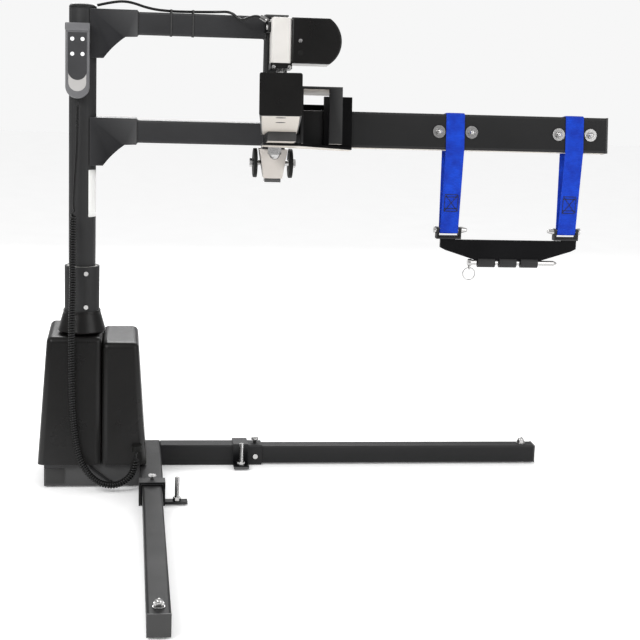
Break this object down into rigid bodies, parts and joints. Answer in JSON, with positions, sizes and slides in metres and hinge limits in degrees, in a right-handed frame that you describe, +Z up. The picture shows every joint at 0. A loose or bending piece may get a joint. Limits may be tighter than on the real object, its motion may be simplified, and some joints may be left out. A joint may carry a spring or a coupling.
{
  "type": "patient lift hoist",
  "caption": "Mast hoist on a boxed base with telescopic floor legs, tilting L-shaped boom, webbing straps and a spreader plate.",
  "frame": {"origin": "on the floor plane under the mast axis", "axes": "+Z up the mast; +X along the two arms and the long boom; -Y along the short jib and the front leg"},
  "size_m": [1.272, 1.125, 1.0882],
  "materials": {
    "powder_black": "fine black powder coat",
    "cover_black": "textured black plastic",
    "rubber": "matt black rubber",
    "grey_plastic": "light grey moulded plastic",
    "handset_grey": "satin grey plastic",
    "key_white": "white rubberised keys",
    "bare_metal": "bare satin metal",
    "bright_steel": "bright zinc and chrome plate",
    "webbing_blue": "blue polyester webbing",
    "cable_black": "black cable sheath",
    "nylon": "natural nylon",
    "battery": "dark battery case"
  },
  "bodies": {
    "base": {"base_chassis": "powder_black", "base_feet": "rubber", "main_cover": "cover_black", "battery_cover": "cover_black", "battery_pack": "battery", "slew_gearmotor": "bare_metal", "column_sleeve": "powder_black", "column_bushes": "nylon", "column_boot": "cover_black", "base_fasteners": "bright_steel", "leg_outer_front": "powder_black", "leg_outer_right": "powder_black", "leg_collars": "powder_black", "cord_gland": "rubber", "curly_cord": "cable_black"},
    "front_leg": {"leg_inner_front": "powder_black", "leg_cap_front": "cover_black", "leg_end_bolt_front": "bright_steel"},
    "right_leg": {"leg_inner_right": "powder_black", "leg_cap_right": "cover_black", "leg_end_bolt_right": "bright_steel"},
    "mast": {"mast_tube": "powder_black", "arm_sockets": "powder_black", "upper_arm": "powder_black", "lower_arm": "powder_black", "head_post": "powder_black", "tube_caps": "cover_black", "jib_hinge_lugs": "powder_black", "head_fasteners": "bright_steel", "actuator_top_bracket": "powder_black", "roller_bracket": "bare_metal", "handset_hook": "cover_black", "handset_shell": "handset_grey", "handset_lead": "cable_black", "actuator_cable": "cable_black", "cable_ties": "cover_black"},
    "key_boom_up": {"button_boom_up": "key_white"},
    "key_boom_down": {"button_boom_down": "key_white"},
    "key_slew_left": {"button_slew_left": "key_white"},
    "key_slew_right": {"button_slew_right": "key_white"},
    "left_roller": {"roller_left": "rubber"},
    "right_roller": {"roller_right": "rubber"},
    "actuator": {"actuator_gearbox": "grey_plastic", "actuator_flange": "cover_black", "motor_housing": "grey_plastic", "motor_cover": "cover_black"},
    "actuator_rod": {"actuator_rod": "bright_steel"},
    "jib": {"jib_tube": "powder_black", "jib_knuckle": "powder_black", "corner_bracket": "powder_black", "boom_tube": "powder_black", "boom_end_caps": "cover_black", "strap_guide_bolts": "bright_steel", "actuator_lug": "powder_black", "strap_left": "webbing_blue", "strap_right": "webbing_blue"},
    "spreader": {"spreader_plate": "powder_black", "spreader_bolts": "bright_steel"},
    "release_pin": {"release_pin": "bright_steel"},
    "pull_ring": {"pull_ring": "bright_steel"}
  },
  "joints": [
    {"name": "mast_slew", "type": "hinge", "parent": "base", "child": "mast", "pos_m": [0, 0, 0.3], "axis": [0, 0, 1], "range_deg": [-90, 90]},
    {"name": "front_leg_slide", "type": "slide", "parent": "base", "child": "front_leg", "axis": [0, 1, 0], "range_m": [-0.1, 0.18]},
    {"name": "right_leg_slide", "type": "slide", "parent": "base", "child": "right_leg", "axis": [-1, 0, 0], "range_m": [-0.1, 0.07]},
    {"name": "jib_lift", "type": "hinge", "parent": "mast", "child": "jib", "pos_m": [0.425, -0.055, 0.84], "axis": [-1, 0, 0], "range_deg": [-15, 10]},
    {"name": "actuator_tilt", "type": "hinge", "parent": "mast", "child": "actuator", "pos_m": [0.425, -0.108, 1.04], "axis": [-1, 0, 0], "range_deg": [-8, 8]},
    {"name": "rod_slide", "type": "slide", "parent": "actuator", "child": "actuator_rod", "axis": [0, -0.1249, -0.9922], "range_m": [-0.03, 0.03]},
    {"name": "roller_left_spin", "type": "hinge", "parent": "mast", "child": "left_roller", "pos_m": [0.425, 0, 0.739], "axis": [1, 0, 0], "continuous": true},
    {"name": "roller_right_spin", "type": "hinge", "parent": "mast", "child": "right_roller", "pos_m": [0.425, 0, 0.739], "axis": [1, 0, 0], "continuous": true},
    {"name": "spreader_swing", "type": "hinge", "parent": "jib", "child": "spreader", "pos_m": [0.824, -0.065, 0.602], "axis": [1, 0, 0], "range_deg": [-50, 50]},
    {"name": "pin_pull", "type": "slide", "parent": "spreader", "child": "release_pin", "axis": [-1, 0, 0], "range_m": [0, 0.16]},
    {"name": "ring_swing", "type": "hinge", "parent": "release_pin", "child": "pull_ring", "pos_m": [0.8765, -0.065, 0.517], "axis": [0, 1, 0], "range_deg": [-25, 25]},
    {"name": "press_boom_up", "type": "slide", "parent": "mast", "child": "key_boom_up", "axis": [0, 1, 0], "range_m": [0, 0.0012], "stiffness_N_per_m": 600},
    {"name": "press_boom_down", "type": "slide", "parent": "mast", "child": "key_boom_down", "axis": [0, 1, 0], "range_m": [0, 0.0012], "stiffness_N_per_m": 600},
    {"name": "press_slew_left", "type": "slide", "parent": "mast", "child": "key_slew_left", "axis": [0, 1, 0], "range_m": [0, 0.0012], "stiffness_N_per_m": 600},
    {"name": "press_slew_right", "type": "slide", "parent": "mast", "child": "key_slew_right", "axis": [0, 1, 0], "range_m": [0, 0.0012], "stiffness_N_per_m": 600}
  ],
  "couplings": [
    {"joint": "actuator_tilt", "follows": "jib_lift", "ratio": -0.3517},
    {"joint": "rod_slide", "follows": "jib_lift", "m_per_rad": -0.08112}
  ]
}
